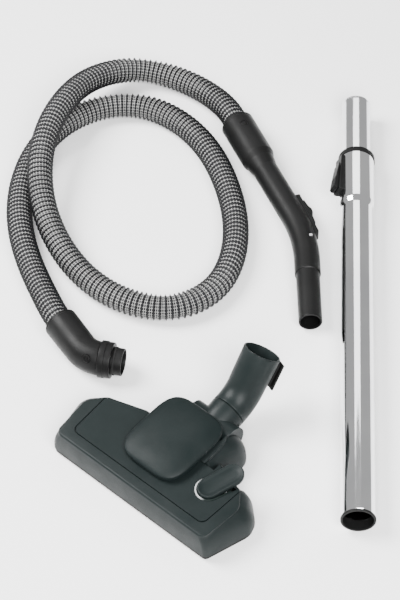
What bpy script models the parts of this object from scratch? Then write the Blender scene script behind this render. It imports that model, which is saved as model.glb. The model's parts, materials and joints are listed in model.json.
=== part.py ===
"""Vacuum cleaner accessory set: corrugated hose with grip and machine elbow, telescopic wand, and
combination floor head.  The three loose assemblies lie on one floor, which is Z = 0."""
import math

import bmesh
import bpy
import numpy as np
from mathutils import Matrix, Vector

MM = 0.001
GAP = 0.3                        # clearance between neighbouring pieces, in millimetres like all sizes here
SIDES = 20                       # facets round a turned piece

# Where each assembly lies: x, y and height of its own origin, and its heading about Z in degrees
KIT_SHIFT = (-21.53, 38.26)       # brings the middle of the whole set over the origin
HEAD_PLACE, HEAD_YAW = (-89.0, -341.5, 0.0), -41.8
WAND_PLACE, WAND_YAW, WAND_RISE = (192.0, -378.0, 22.9), 87.56, 0.25
GRIP_PLACE, GRIP_YAW, GRIP_DROP = (53.0, 312.0, 25.5), -67.1, 1.44
ELBOW_PLACE, ELBOW_YAW = (-182.0, -62.0, 24.8), -57.8

# Hose: outer diameter, and the route of its centre line from inside the grip to inside the elbow
HOSE_DIAMETER = 34.0
HOSE_ROUTE = [
    (70.0, 272.0, 24.4), (61.0, 293.2, 25.0), (53.0, 312.0, 25.5), (43.2, 335.2, 25.6), (24, 366, 23.0),
    (-28, 411, 20.2), (-89, 427, 24.5), (-146, 398, 39.0), (-187, 337, 55.0), (-212, 268, 58.0),
    (-220, 202, 51.5), (-213, 139, 39.5), (-190, 77, 28.5), (-151, 21, 21.5), (-96, -19, 18.8),
    (-36, -29, 18.2), (16, 1, 18.2), (43, 59, 18.2), (48, 130, 18.2), (36, 201, 18.2), (12, 267, 18.2),
    (-27, 322, 18.2), (-79, 355, 18.2), (-139, 354, 18.2), (-192, 322, 18.2), (-229, 265, 18.2),
    (-246, 198, 18.2), (-246, 128, 18.2), (-230, 56, 18.4), (-205, -12, 21.5), (-182.0, -62.0, 24.8),
    (-171.4, -78.9, 24.8), (-160.2, -96.7, 24.8),
]
HOSE_POINT_SPACING = 30.0

# Floor head, in its own frame: X along the front edge, Y from front to back
SOLE_UNDER, SOLE_TOP, SHELL_UNDER = 3.0, 8.7, 9.0
ROOF_FRONT, ROOF_SLOPE = 43.0, 0.06
SHELL_FOOT = [(-128, 0, 8), (128, 0, 8), (147, 72, 24), (121, 95, 18), (62, 107, 10),
              (-62, 107, 10), (-121, 95, 18), (-147, 72, 24)]
SHELL_BROW = [(-124, 3, 8), (124, 3, 8), (129, 61, 16), (112, 82, 12), (60, 98, 8),
              (-60, 98, 8), (-112, 82, 12), (-129, 61, 16)]
PANEL = [(-108, 17, 9), (108, 17, 9), (113, 112, 2), (-113, 112, 2)]
SHELL_WALL, ROOF_THICKNESS, PANEL_THICKNESS = 2.6, 5.0, 2.0
SOLE_SCREWS = [("sole_screw_1", -88, 24), ("sole_screw_2", 88, 24),
               ("sole_screw_3", -106, 62), ("sole_screw_4", 106, 62)]
COVER_CENTRE_Y, COVER_HALF_WIDTH, COVER_HALF_DEPTH, COVER_SQUARENESS = 84.0, 47.0, 55.0, 4.0
COVER_UNDER, COVER_SLOPE, COVER_EDGE, COVER_DOME = 48.6, 0.08, 4.0, 10.5
PIVOT_X = 12.0                   # the pivot sits to the right of the head's middle
HOUSING_FOOT = [(-52, 84.6, 1), (52, 84.6, 1), (60, 158, 24), (-60, 158, 24)]
HOUSING_BROW = [(-44, 84.6, 1), (44, 84.6, 1), (41, 134, 16), (-41, 134, 16)]
TILT_Y, TILT_Z, NECK_RISE = 142.0, 30.0, 12.0
BARREL_RADIUS, BARREL_HALF = 21.5, 34.0
STUB_END, STUB_RADIUS = 31.0, 24.0
NECK_STRAIGHT, NECK_BEND_RADIUS, NECK_BEND, NECK_LENGTH = 36.0, 52.0, 40.0, 121.0
NECK_BORE, NECK_SOCKET_DEPTH = 22.3, 46.0
HOOK_LEAN = -35.0                # degrees that the parking hook is turned round the neck
PEDAL_X, PEDAL_Y, PEDAL_HALF_WIDTH, PEDAL_HALF_LENGTH, PEDAL_TURN = 86.0, 75.0, 14.5, 31.0, -19.7
PEDAL_PIN_Z = 43.0
WHEEL_Y, WHEEL_RADIUS, WHEEL_X = 134.0, 12.0, 47.0
ROLLER_X, ROLLER_Y, ROLLER_RADIUS = 116.0, 42.0, 7.0

# Wand, along X from its lower end
TUBE_RADIUS, TUBE_WALL = 21.8, 0.8
INNER_RADIUS, INNER_START, WAND_LENGTH = 20.1, 220.0, 728.0
COLLAR_START, COLLAR_END, COLLAR_RADIUS = 518.0, 612.0, 24.6
LATCH_LEAN = 25.0                # degrees that the latch sits above level on the wand's left side

# Grip and elbow, along X from their socket mouths
CUFF_INNER, CUFF_OUTER, CUFF_LENGTH = 17.7, 20.5, 47.0
SOCKET_BORE, SOCKET_DEPTH = 20.8, 50.0
GRIP_STRAIGHT, GRIP_BEND_RADIUS, GRIP_BEND, GRIP_LENGTH = 189.0, 220.0, -22.3, 383.0
GRIP_RADIUS, GRIP_CONE_START = 17.6, 300.0
RAIL_S, RAIL_HEADING = 198.0, -3.5
ELBOW_STRAIGHT, ELBOW_BEND_RADIUS, ELBOW_BEND, ELBOW_LENGTH = 52.0, 40.0, 45.3, 115.0
ELBOW_BODY_END, SPIGOT_START, SPIGOT_RADIUS = 84.0, 80.0, 18.0


# ---------------------------------------------------------------- scene helpers
def clear_scene():
    for thing in list(bpy.data.objects):
        bpy.data.objects.remove(thing, do_unlink=True)


def make_collection(name):
    collection = bpy.data.collections.new(name)
    bpy.context.scene.collection.children.link(collection)
    return collection


def make_material(name, colour, roughness, metallic=0.0):
    made = bpy.data.materials.new(name)
    made.use_nodes = True
    shader = made.node_tree.nodes["Principled BSDF"]
    shader.inputs["Base Color"].default_value = (*colour, 1.0)
    shader.inputs["Roughness"].default_value = roughness
    shader.inputs["Metallic"].default_value = metallic
    return made


clear_scene()
PARTS = make_collection("vacuum_accessory_set")
CUTTERS = make_collection("cutters_and_guides")

SHELL_GREY = make_material("shell_grey", (0.038, 0.048, 0.047), 0.42)
PANEL_GREY = make_material("panel_grey", (0.030, 0.038, 0.037), 0.50)
GRIP_BLACK = make_material("grip_black", (0.022, 0.022, 0.023), 0.48)
TRIM_BLACK = make_material("trim_black", (0.010, 0.010, 0.011), 0.55)
BEZEL_GREY = make_material("bezel_grey", (0.30, 0.31, 0.31), 0.35)
TUBE_CHROME = make_material("tube_chrome", (0.80, 0.81, 0.82), 0.10, 1.0)
PIN_STEEL = make_material("pin_steel", (0.55, 0.55, 0.56), 0.30, 1.0)
SOFT_RUBBER = make_material("soft_rubber", (0.015, 0.015, 0.015), 0.70)
BRISTLE_FIBRE = make_material("bristle_fibre", (0.030, 0.030, 0.032), 0.80)
LINT_FABRIC = make_material("lint_fabric", (0.35, 0.03, 0.03), 0.95)
HOSE_WEAVE = make_material("hose_weave", (0.045, 0.045, 0.045), 0.60)


def make_empty(name, location, rotation=(0, 0, 0), parent=None):
    """An empty at a place in millimetres, turned by Euler angles in degrees."""
    empty = bpy.data.objects.new(name, None)
    empty.location = Vector(location) * MM
    empty.rotation_euler = [math.radians(angle) for angle in rotation]
    empty.parent = parent
    PARTS.objects.link(empty)
    return empty


def add_object(name, data, parent, finish=None):
    thing = bpy.data.objects.new(name, data)
    thing.parent = parent
    if finish is None:
        CUTTERS.objects.link(thing)
        thing.hide_render = True
        thing.display_type = "WIRE"
    else:
        PARTS.objects.link(thing)
        data.materials.append(finish)
    return thing


def add_bmesh(name, shape, parent, finish):
    bmesh.ops.recalc_face_normals(shape, faces=shape.faces)
    mesh = bpy.data.meshes.new(name)
    shape.to_mesh(mesh)
    shape.free()
    mesh.shade_smooth()
    mesh.set_sharp_from_angle(angle=math.radians(35))
    return add_object(name, mesh, parent, finish)


# ---------------------------------------------------------------- shape helpers (sizes in millimetres)
def block(name, low, high, parent, finish=None):
    shape = bmesh.new()
    bmesh.ops.create_cube(shape, size=1.0)
    low, high = Vector(low) * MM, Vector(high) * MM
    bmesh.ops.scale(shape, vec=high - low, verts=shape.verts)
    bmesh.ops.translate(shape, vec=(high + low) / 2, verts=shape.verts)
    return add_bmesh(name, shape, parent, finish)


def rod(name, start, end, radius, parent, finish=None, sides=SIDES):
    shape = bmesh.new()
    start, end = Vector(start) * MM, Vector(end) * MM
    turn = Vector((0, 0, 1)).rotation_difference(end - start).to_matrix().to_4x4()
    bmesh.ops.create_cone(shape, cap_ends=True, segments=sides, radius1=radius * MM, radius2=radius * MM,
                          depth=(end - start).length, matrix=Matrix.Translation((start + end) / 2) @ turn)
    return add_bmesh(name, shape, parent, finish)


def turned(name, profile, parent, finish=None, guide=None, closed=True, sides=SIDES):
    """A profile of (x, radius) pairs turned about X: up the inner side, then back along the outer side."""
    points = [(x * MM, 0.0, radius * MM) for x, radius in profile]
    last = len(points) if closed else len(points) - 1
    mesh = bpy.data.meshes.new(name)
    mesh.from_pydata(points, [(i, (i + 1) % len(points)) for i in range(last)], [])
    piece = add_object(name, mesh, parent, finish)
    screw = piece.modifiers.new("Turn", "SCREW")
    screw.axis = "X"
    screw.steps = screw.render_steps = sides
    screw.use_merge_vertices = True
    screw.merge_threshold = 0.00001
    screw.use_smooth_shade = True
    if guide:
        follow = piece.modifiers.new("Follow", "CURVE")
        follow.object = guide
        follow.deform_axis = "POS_X"
    return piece


def arc_corners(corners, steps=4):
    """A closed outline through corners (x, y, radius), each rounded by an arc."""
    outline = []
    count = len(corners)
    for i, (x, y, radius) in enumerate(corners):
        corner = Vector((x, y))
        back = (Vector(corners[i - 1][:2]) - corner).normalized()
        ahead = (Vector(corners[(i + 1) % count][:2]) - corner).normalized()
        half = back.angle(ahead) / 2
        reach = radius / math.tan(half)
        centre = corner + (back + ahead).normalized() * radius / math.sin(half)
        first, last = corner + back * reach - centre, corner + ahead * reach - centre
        sweep = first.angle_signed(last)
        for k in range(steps + 1):
            turn = -sweep * k / steps
            cos, sin = math.cos(turn), math.sin(turn)
            outline.append((centre.x + first.x * cos - first.y * sin, centre.y + first.x * sin + first.y * cos))
    return outline


def loft(name, rings, parent, finish=None):
    """A closed solid through rings of equally many points (x, y, z)."""
    shape = bmesh.new()
    loops = [[shape.verts.new(Vector(point) * MM) for point in ring] for ring in rings]
    count = len(loops[0])
    shape.faces.new(reversed(loops[0]))
    shape.faces.new(loops[-1])
    for lower, upper in zip(loops, loops[1:]):
        for i in range(count):
            j = (i + 1) % count
            shape.faces.new((lower[i], lower[j], upper[j], upper[i]))
    return add_bmesh(name, shape, parent, finish)


def slab(name, outline, under, over, parent, finish=None):
    """An outline between two heights, each a number or a function of y."""
    heights = [level if callable(level) else (lambda y, level=level: level) for level in (under, over)]
    return loft(name, [[(x, y, height(y)) for x, y in outline] for height in heights], parent, finish)


def crowned_plate(name, centre, half_size, squareness, under, over, cells, parent, finish):
    """A rounded-square plate from a grid: flat below, its top given by over(u, v, y) with u, v in -1..1."""
    shape = bmesh.new()
    bmesh.ops.create_grid(shape, x_segments=cells[0], y_segments=cells[1], size=1.0)
    for vert in shape.verts:
        u, v = vert.co.x, vert.co.y
        far = max(abs(u), abs(v))
        share = far / (abs(u) ** squareness + abs(v) ** squareness) ** (1 / squareness) if far else 1.0
        x, y = centre[0] + half_size[0] * u * share, centre[1] + half_size[1] * v * share
        vert.co = Vector((x, y, over(u, v, y))) * MM
    grown = bmesh.ops.extrude_face_region(shape, geom=shape.faces[:])
    for vert in (item for item in grown["geom"] if isinstance(item, bmesh.types.BMVert)):
        vert.co.z = under(vert.co.y / MM) * MM
    return add_bmesh(name, shape, parent, finish)


def boolean(piece, others, operation):
    for other in others:
        step = piece.modifiers.new(other.name, "BOOLEAN")
        step.operation = operation
        step.solver = "EXACT"
        step.object = other
    return piece


def cut(piece, *cutters):
    return boolean(piece, cutters, "DIFFERENCE")


def fuse(piece, *others):
    return boolean(piece, others, "UNION")


def soften(piece, width, segments=2):
    bevel = piece.modifiers.new("Soften", "BEVEL")
    bevel.width = width * MM
    bevel.segments = segments
    bevel.limit_method = "ANGLE"
    bevel.angle_limit = math.radians(40)
    return piece


def bend_point(straight, radius, degrees, s):
    """Place and heading at distance s along a guide that runs straight, bends, and runs straight again."""
    sign = math.copysign(1.0, degrees)
    arc = radius * math.radians(abs(degrees))
    if s <= straight:
        return Vector((s, 0.0)), 0.0
    angle = min(s - straight, arc) / radius
    beyond = max(s - straight - arc, 0.0)
    x = straight + radius * math.sin(angle) + beyond * math.cos(angle)
    y = radius * (1 - math.cos(angle)) + beyond * math.sin(angle)
    return Vector((x, sign * y)), sign * math.degrees(angle)


def make_guide(name, bend, length, parent, upward=False):
    """A guide curve in the XY plane, or in the XZ plane when it bends upward."""
    curve = bpy.data.curves.new(name, "CURVE")
    curve.dimensions = "3D"
    curve.twist_mode = "Z_UP"
    spline = curve.splines.new("POLY")
    stops = np.linspace(0.0, length, int(length / 4) + 1)
    spline.points.add(len(stops) - 1)
    for point, s in zip(spline.points, stops):
        place, _ = bend_point(*bend, s)
        x, side = place * MM
        point.co = (x, 0.0, side, 1.0) if upward else (x, side, 0.0, 1.0)
    return add_object(name, curve, parent)


def stations(start, end, count, radius):
    return [(x, radius) for x in np.linspace(start, end, count)]


def smooth_route(points, spacing):
    """Points at a spacing along the natural cubic spline through a route's points."""
    route = np.array(points, dtype=float)
    chord = np.linalg.norm(np.diff(route, axis=0), axis=1)
    along = np.concatenate(([0.0], np.cumsum(chord)))
    count = len(route)
    matrix, right = np.zeros((count, count)), np.zeros((count, 3))
    matrix[0, 0] = matrix[-1, -1] = 1.0
    for i in range(1, count - 1):
        before, after = chord[i - 1], chord[i]
        matrix[i, i - 1:i + 2] = before, 2 * (before + after), after
        right[i] = 6 * ((route[i + 1] - route[i]) / after - (route[i] - route[i - 1]) / before)
    second = np.linalg.solve(matrix, right)
    result = []
    for s in np.linspace(0.0, along[-1], round(along[-1] / spacing) + 1):
        i = min(max(int(np.searchsorted(along, s)) - 1, 0), count - 2)
        h = chord[i]
        a, b = (along[i + 1] - s) / h, (s - along[i]) / h
        bulge = ((a ** 3 - a) * second[i] + (b ** 3 - b) * second[i + 1]) * h * h / 6
        result.append(a * route[i] + b * route[i + 1] + bulge)
    return result


# ---------------------------------------------------------------- floor head
def roof(y):
    return ROOF_FRONT + ROOF_SLOPE * y


def cover_under(y):
    return COVER_UNDER + COVER_SLOPE * (y - (COVER_CENTRE_Y - COVER_HALF_DEPTH))


def shrunk(corners, amount):
    """The same outline drawn in by an amount on every side."""
    return [(x - math.copysign(amount, x), y + (amount if y < 50 else -amount), max(radius - amount, 1))
            for x, y, radius in corners]


def hood_rings(foot, brow, under, top):
    """Rings from a foot outline up to a brow outline, with sides that bulge outwards."""
    foot, brow = arc_corners(foot), arc_corners(brow)
    rings = []
    for lift, inward in ((0.0, 0.0), (0.35, 0.06), (0.65, 0.26), (0.88, 0.62), (1.0, 1.0)):
        ring = []
        for (x0, y0), (x1, y1) in zip(foot, brow):
            x, y = x0 + (x1 - x0) * inward, y0 + (y1 - y0) * inward
            ring.append((x, y, under + (top(y) - under) * lift))
        rings.append(ring)
    return rings


def head_form(name, parent, finish=None):
    return loft(name, hood_rings(SHELL_FOOT, SHELL_BROW, SHELL_UNDER, roof), parent, finish)


def pedal_spot(x, y):
    """A point given from the pedal's middle, along and across its own length."""
    turn = math.radians(PEDAL_TURN)
    return (PEDAL_X + x * math.cos(turn) - y * math.sin(turn), PEDAL_Y + x * math.sin(turn) + y * math.cos(turn))


def pedal_outline(half_width, half_length):
    r = half_width - 0.01
    corners = [(-half_width, -half_length, r), (half_width, -half_length, r), (half_width, half_length, r),
               (-half_width, half_length, r)]
    return [pedal_spot(x, y) for x, y in arc_corners(corners, steps=5)]


def make_shell_and_panel(frame):
    shell = head_form("head_shell", frame, SHELL_GREY)
    inner = hood_rings(shrunk(SHELL_FOOT, SHELL_WALL), shrunk(SHELL_BROW, SHELL_WALL), SHELL_UNDER - 1,
                       lambda y: roof(y) - ROOF_THICKNESS)
    recess = [(x + math.copysign(0.5, x), y - (0.5 if y < 50 else 0), r) for x, y, r in PANEL]
    gate = block("cut_housing_gate", (PIVOT_X - 54.5, 84.3, 8), (PIVOT_X + 54.5, 125, 60), frame)
    well = slab("cut_pedal_well", pedal_outline(17.7, 34.2), 20, 70, frame)
    cut(shell,
        loft("cut_shell_inside", inner, frame),
        gate,
        slab("cut_duct_gate", [(-35, 76), (35, 76), (35, 88), (-35, 88)], 15,
             lambda y: roof(y) - ROOF_THICKNESS - 0.12, frame),
        slab("cut_panel_recess", arc_corners(recess), lambda y: roof(y) - PANEL_THICKNESS - GAP, 70, frame),
        well)
    for name, x, y in SOLE_SCREWS:
        fuse(shell, rod("post_" + name, (x, y, SHELL_UNDER), (x, y, roof(y) - 3.6), 3.2, frame, sides=10))
        cut(shell, rod("cut_post_" + name, (x, y, 5), (x, y, 16), 1.5, frame, sides=8))
    panel = slab("top_panel", arc_corners(PANEL), lambda y: roof(y) - PANEL_THICKNESS, lambda y: roof(y) + 3,
                 frame, PANEL_GREY)
    boolean(panel, [head_form("trim_panel", frame)], "INTERSECT")
    cut(panel, well, gate)


def make_sole(frame):
    sole = slab("sole_plate", arc_corners(shrunk(SHELL_FOOT, 1.2)), SOLE_UNDER, SOLE_TOP, frame, TRIM_BLACK)
    cut(sole,
        block("cut_sole_gate", (PIVOT_X - 54.5, 84.3, 0), (PIVOT_X + 54.5, 125, 20), frame),
        block("cut_mouth", (-106, 30, 0), (106, 54, 20), frame),
        block("cut_front_slot", (-114, 11, 0), (114, 18, 20), frame),
        block("cut_rear_slot", (-114, 67.5, 0), (114, 74.5, 20), frame))
    for side, sign in (("left", -1), ("right", 1)):
        x = sign * ROLLER_X
        half = 4.6
        pocket = block("cut_roller_" + side, (x - half, ROLLER_Y - 8.2, 0), (x + half, ROLLER_Y + 8.2, 20), frame)
        groove = rod("cut_trunnion_" + side, (x - 7.4, ROLLER_Y, ROLLER_RADIUS), (x + 7.4, ROLLER_Y, ROLLER_RADIUS),
                     2.0, frame, sides=12)
        cut(sole, pocket, groove)
        roller = rod("front_roller_" + side, (x - 4, ROLLER_Y, ROLLER_RADIUS), (x + 4, ROLLER_Y, ROLLER_RADIUS),
                     ROLLER_RADIUS, frame, TRIM_BLACK, sides=24)
        fuse(roller, rod("trunnion_" + side, (x - 7, ROLLER_Y, ROLLER_RADIUS), (x + 7, ROLLER_Y, ROLLER_RADIUS),
                         1.5, frame, sides=12))
        low_x, high_x = sorted((sign * 30, sign * 98))
        block("lint_pad_" + side, (low_x, 56.5, 1.7), (high_x, 62.5, SOLE_UNDER - GAP), frame, LINT_FABRIC)
    for name, x, y in SOLE_SCREWS:
        cut(sole,
            rod("cut_head_" + name, (x, y, 0), (x, y, 5.7), 3.3, frame, sides=12),
            rod("cut_shank_" + name, (x, y, 0), (x, y, 20), 1.5, frame, sides=8))
        screw = rod(name, (x, y, 3.4), (x, y, 5.4), 3.0, frame, PIN_STEEL, sides=12)
        fuse(screw, rod("shank_" + name, (x, y, 5), (x, y, 15), 1.2, frame, sides=8))


def make_brushes(frame):
    carrier = block("brush_carrier", (-113, 11.4, 9.6), (113, 17.6, 14), frame, TRIM_BLACK)
    fuse(carrier, block("carrier_rear_bar", (-113, 68, 9.6), (113, 74, 14), frame))
    for side, sign in (("left", -1), ("right", 1)):
        low_x, high_x = sorted((sign * 56, sign * 61))
        fuse(carrier, block("carrier_link_" + side, (low_x, 15, 10.1), (high_x, 71, 13.5), frame))
    for name, low_y in (("front_bristles", 12.3), ("rear_bristles", 68.8)):
        block(name, (-112, low_y, 0.3), (112, low_y + 4.4, 9.3), frame, BRISTLE_FIBRE)


def make_duct_and_cover(frame):
    def under_roof(y):
        return roof(y) - ROOF_THICKNESS - GAP

    duct = slab("air_duct", [(-34, 29), (34, 29), (34, 83.4), (-34, 83.4)], 20, under_roof, frame, TRIM_BLACK)
    fuse(duct, block("duct_inlet", (-34, 29, 9.2), (34, 56, 25), frame))
    cut(duct,
        slab("cut_duct_run", [(-32, 31), (32, 31), (32, 95), (-32, 95)], 21.8, lambda y: under_roof(y) - 1.8, frame),
        block("cut_duct_inlet", (-32, 31, 5), (32, 54, 26), frame))
    slab("cover_plinth", arc_corners([(-40, 40, 12), (40, 40, 12), (42, 84, 1), (-42, 84, 1)]),
         lambda y: roof(y) + GAP, lambda y: cover_under(y) - GAP, frame, TRIM_BLACK)

    def dome(u, v, y):
        return cover_under(y) + COVER_EDGE + COVER_DOME * ((1 - u * u) * (1 - v * v)) ** 0.6

    crowned_plate("duct_cover", (0, COVER_CENTRE_Y), (COVER_HALF_WIDTH, COVER_HALF_DEPTH), COVER_SQUARENESS, cover_under,
                  dome, (12, 14), frame, PANEL_GREY)


def make_pivot_housing(frame):
    seat = make_empty("pivot_frame", (PIVOT_X, 0, 0), parent=frame)
    housing = loft("pivot_housing",
                   hood_rings(HOUSING_FOOT, HOUSING_BROW, 6.0, lambda y: cover_under(y) - GAP), seat, SHELL_GREY)
    cut(housing,
        block("cut_knuckle_slot", (-34.6, 119.5, 0), (34.6, 190, 70), seat),
        block("cut_housing_inside", (-34, 97, 0), (34, 121, 20), seat),
        block("cut_housing_duct", (-40, 80, 22), (18, 122, 42), seat))
    for side, sign in (("left", -1), ("right", 1)):
        x = sign * WHEEL_X
        cut(housing,
            block("cut_wheel_" + side, (x - 4.6, WHEEL_Y - 13, 0), (x + 4.6, WHEEL_Y + 13, 25.2), seat),
            rod("cut_axle_" + side, (sign * 30, WHEEL_Y, WHEEL_RADIUS), (sign * 55.9, WHEEL_Y, WHEEL_RADIUS),
                1.8, seat, sides=12),
            rod("cut_pivot_" + side, (sign * 30, TILT_Y, TILT_Z), (sign * 38.7, TILT_Y, TILT_Z), 3.8, seat,
                sides=16))
        axle_ends = (sign * 35.6, WHEEL_Y, WHEEL_RADIUS), (sign * 55.6, WHEEL_Y, WHEEL_RADIUS)
        rod("rear_axle_" + side, *axle_ends, 1.5, seat, PIN_STEEL, sides=12)
        wheel = make_empty("wheel_axis_" + side, (x, WHEEL_Y, WHEEL_RADIUS), parent=seat)
        turned("rear_hub_" + side, [(-4, 1.8), (4, 1.8), (4, 9.4), (3, 9.8), (-3, 9.8), (-4, 9.4)], wheel,
               SHELL_GREY)
        turned("rear_tyre_" + side,
               [(-3.8, 10.1), (3.8, 10.1), (4, 11.2), (3, 12.0), (-3, 12.0), (-4, 11.2)], wheel, SOFT_RUBBER,
               sides=28)


def make_neck(frame):
    axis = make_empty("tilt_axis", (PIVOT_X, TILT_Y, TILT_Z), (0, -NECK_RISE, 90), frame)
    knuckle = rod("knuckle", (0, -BARREL_HALF, 0), (0, BARREL_HALF, 0), BARREL_RADIUS, axis, SHELL_GREY, sides=28)
    stub = turned("knuckle_stub", [(-2, 0), (-2, 20.5), (6, 21.8), (14, 23.2), (STUB_END - 1, STUB_RADIUS),
                                   (STUB_END, STUB_RADIUS - 1), (STUB_END, 0)][::-1], axis, closed=False, sides=28)
    fuse(knuckle, stub, rod("knuckle_trunnions", (0, -38.3, 0), (0, 38.3, 0), 3.5, axis, sides=16))
    cut(knuckle,
        rod("cut_knuckle_air", (-30, 0, 0), (50, 0, 0), 15.6, axis, sides=24),
        rod("cut_retainer_seat", (12, 0, 0), (17, 0, 0), 20.8, axis, sides=24),
        rod("cut_swivel_seat", (15, 0, 0), (50, 0, 0), 19.3, axis, sides=24),
        block("cut_knuckle_slot_mark", (19, -28, -2.6), (25, -22.6, 2.6), axis))
    turned("neck_retainer", [(12.4, 17.2), (16.4, 17.2), (16.4, 20.5), (12.4, 20.5)], axis, TRIM_BLACK)
    bend = (NECK_STRAIGHT, NECK_BEND_RADIUS, NECK_BEND)
    guide = make_guide("neck_guide", bend, NECK_LENGTH, axis, upward=True)
    arc_end = NECK_STRAIGHT + NECK_BEND_RADIUS * math.radians(NECK_BEND)
    bore_start = NECK_LENGTH - NECK_SOCKET_DEPTH
    inner = [(17, 17.0), *stations(NECK_STRAIGHT, arc_end, 5, 17.4), (bore_start - 1.5, 17.6),
             (bore_start, NECK_BORE), (NECK_LENGTH - 0.5, NECK_BORE), (NECK_LENGTH, NECK_BORE + 0.3)]
    outer = [(NECK_LENGTH, 24.4), (NECK_LENGTH - 0.8, 24.9), (NECK_LENGTH - 10, 24.8), (NECK_LENGTH - 24, 24.5),
             *stations(arc_end, NECK_STRAIGHT, 5, 23.8), (33, 23.9), (STUB_END + GAP, 23.2),
             (STUB_END + GAP, 19.0), (17, 19.0)]
    turned("neck_tube", inner + outer, axis, SHELL_GREY, guide)
    place, heading = bend_point(*bend, arc_end)
    top = make_empty("neck_top", (place.x, 0, place.y), (0, -heading, 0), axis)
    side = make_empty("hook_side", (0, 0, 0), (HOOK_LEAN, 0, 0), top)
    hook = block("parking_hook", (8, -3, -31), (40, 3, -25.2), side, TRIM_BLACK)
    fuse(hook, block("hook_flange", (6, -9, -33), (42, 9, -29.8), side))


def make_pedal(frame):
    def under(y):
        return roof(PEDAL_Y - PEDAL_HALF_LENGTH) - 3.4 + 0.185 * (y - (PEDAL_Y - PEDAL_HALF_LENGTH))

    def ring(inset, rise):
        outline = pedal_outline(PEDAL_HALF_WIDTH - inset, PEDAL_HALF_LENGTH - inset)
        return [(x, y, under(y) + rise) for x, y in outline]

    def pin(name, half_length, radius, finish=None):
        ends = [(*pedal_spot(x, 0), PEDAL_PIN_Z) for x in (-half_length, half_length)]
        return rod(name, *ends, radius, frame, finish, sides=12)

    pedal = loft("pedal", [ring(0, 0), ring(0, 4.6), ring(1.5, 6.0), ring(5, 4.6)], frame, SHELL_GREY)
    lug = [pedal_spot(x, y) for x, y in ((-7, -4), (7, -4), (7, 4), (-7, 4))]
    fuse(pedal, slab("pedal_lug", lug, PEDAL_PIN_Z - 3.5, PEDAL_PIN_Z + 6, frame))
    cut(pedal, pin("cut_pedal_pin", 30, 1.9))
    pin("pedal_pin", 16.6, 1.5, PIN_STEEL)
    cup = slab("pedal_cup", pedal_outline(17.3, 33.8), 30, lambda y: roof(y) + 0.6, frame, BEZEL_GREY)
    cut(cup,
        slab("cut_cup_inside", pedal_outline(15.4, 31.9), 10, 80, frame),
        slab("cut_cup_back", [pedal_spot(x, y) for x, y in ((-25, 6), (25, 6), (25, 60), (-25, 60))], 10, 80, frame),
        pin("cut_cup_pin", 30, 1.8))


def make_floor_head():
    frame = make_empty("floor_head_frame", HEAD_PLACE, (0, 0, HEAD_YAW), KIT)
    make_shell_and_panel(frame)
    make_sole(frame)
    make_brushes(frame)
    make_duct_and_cover(frame)
    make_pivot_housing(frame)
    make_neck(frame)
    make_pedal(frame)


# ---------------------------------------------------------------- telescopic wand
def make_wand():
    frame = make_empty("wand_frame", WAND_PLACE, (0, -WAND_RISE, WAND_YAW), KIT)
    bore = TUBE_RADIUS - TUBE_WALL
    collar_bore = COLLAR_RADIUS - TUBE_WALL
    turned("outer_tube",
           [(0, bore), (COLLAR_START - 2, bore), (COLLAR_START + 12, collar_bore), (COLLAR_END, collar_bore),
            (COLLAR_END, COLLAR_RADIUS), (COLLAR_START + 12, COLLAR_RADIUS), (COLLAR_START + 6, 23.5),
            (COLLAR_START, TUBE_RADIUS), (0, TUBE_RADIUS)], frame, TUBE_CHROME, sides=28)
    turned("end_ring", [(-3, 19.2), (12, 19.2), (12, bore - GAP), (-GAP, bore - GAP), (-GAP, 22.0), (-3, 22.0)],
           frame, TRIM_BLACK)
    inner_bore = INNER_RADIUS - TUBE_WALL
    turned("inner_tube",
           [(INNER_START, inner_bore), (WAND_LENGTH, inner_bore), (WAND_LENGTH, 20.4), (WAND_LENGTH - 3, 20.4),
            (WAND_LENGTH - 4, INNER_RADIUS), (INNER_START, INNER_RADIUS)], frame, TUBE_CHROME, sides=28)
    turned("mouth_sleeve", [(WAND_LENGTH - 46, 16.4), (WAND_LENGTH - 1.5, 16.4), (WAND_LENGTH - 1.5, 17.0),
                            (WAND_LENGTH - 3, inner_bore - GAP), (WAND_LENGTH - 46, inner_bore - GAP)], frame,
           TRIM_BLACK)
    turned("guide_bush", [(INNER_START + 2, 20.35), (INNER_START + 32, 20.35), (INNER_START + 32, 20.8),
                          (INNER_START + 2, 20.8)], frame, TRIM_BLACK, sides=28)
    turned("seal_collar",
           [(COLLAR_END - 18, 20.7), (COLLAR_END + 9, 20.7), (COLLAR_END + 9, 24.7), (COLLAR_END + 7.6, 25.5),
            (COLLAR_END + GAP, 25.5), (COLLAR_END + GAP, 23.4), (COLLAR_END - 18, 23.4)], frame, TRIM_BLACK)
    side = make_empty("latch_side", (0, 0, 0), (LATCH_LEAN, 0, 0), frame)
    foot, head = 543.0, COLLAR_END - 2
    housing = slab("latch_housing", [(foot + 3, 18), (head, 18), (head, 27.6), (foot, 31.4), (foot, 27.5)],
                   -9.5, 9.5, side, TRIM_BLACK)
    cut(housing, rod("cut_latch_seat", (500, 0, 0), (650, 0, 0), COLLAR_RADIUS + GAP, side, sides=28))
    soften(housing, 0.8, 1)
    button = slab("latch_button", [(foot + 2, 31.7), (head - 16, 29.1), (head - 16, 30.6), (foot + 22, 35.5),
                                   (foot + 4, 38.0), (foot + 1, 35.0)], -7.5, 7.5, side, TRIM_BLACK)
    soften(button, 1.0, 2)


# ---------------------------------------------------------------- hose grip with air valve
def make_cuff(name, frame, finish, hole_side=None):
    cuff = turned(name, [(1, CUFF_INNER), (CUFF_LENGTH, CUFF_INNER), (CUFF_LENGTH, CUFF_OUTER),
                         (1, CUFF_OUTER)], frame, finish)
    if hole_side:
        cut(cuff, hole_side)


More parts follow.
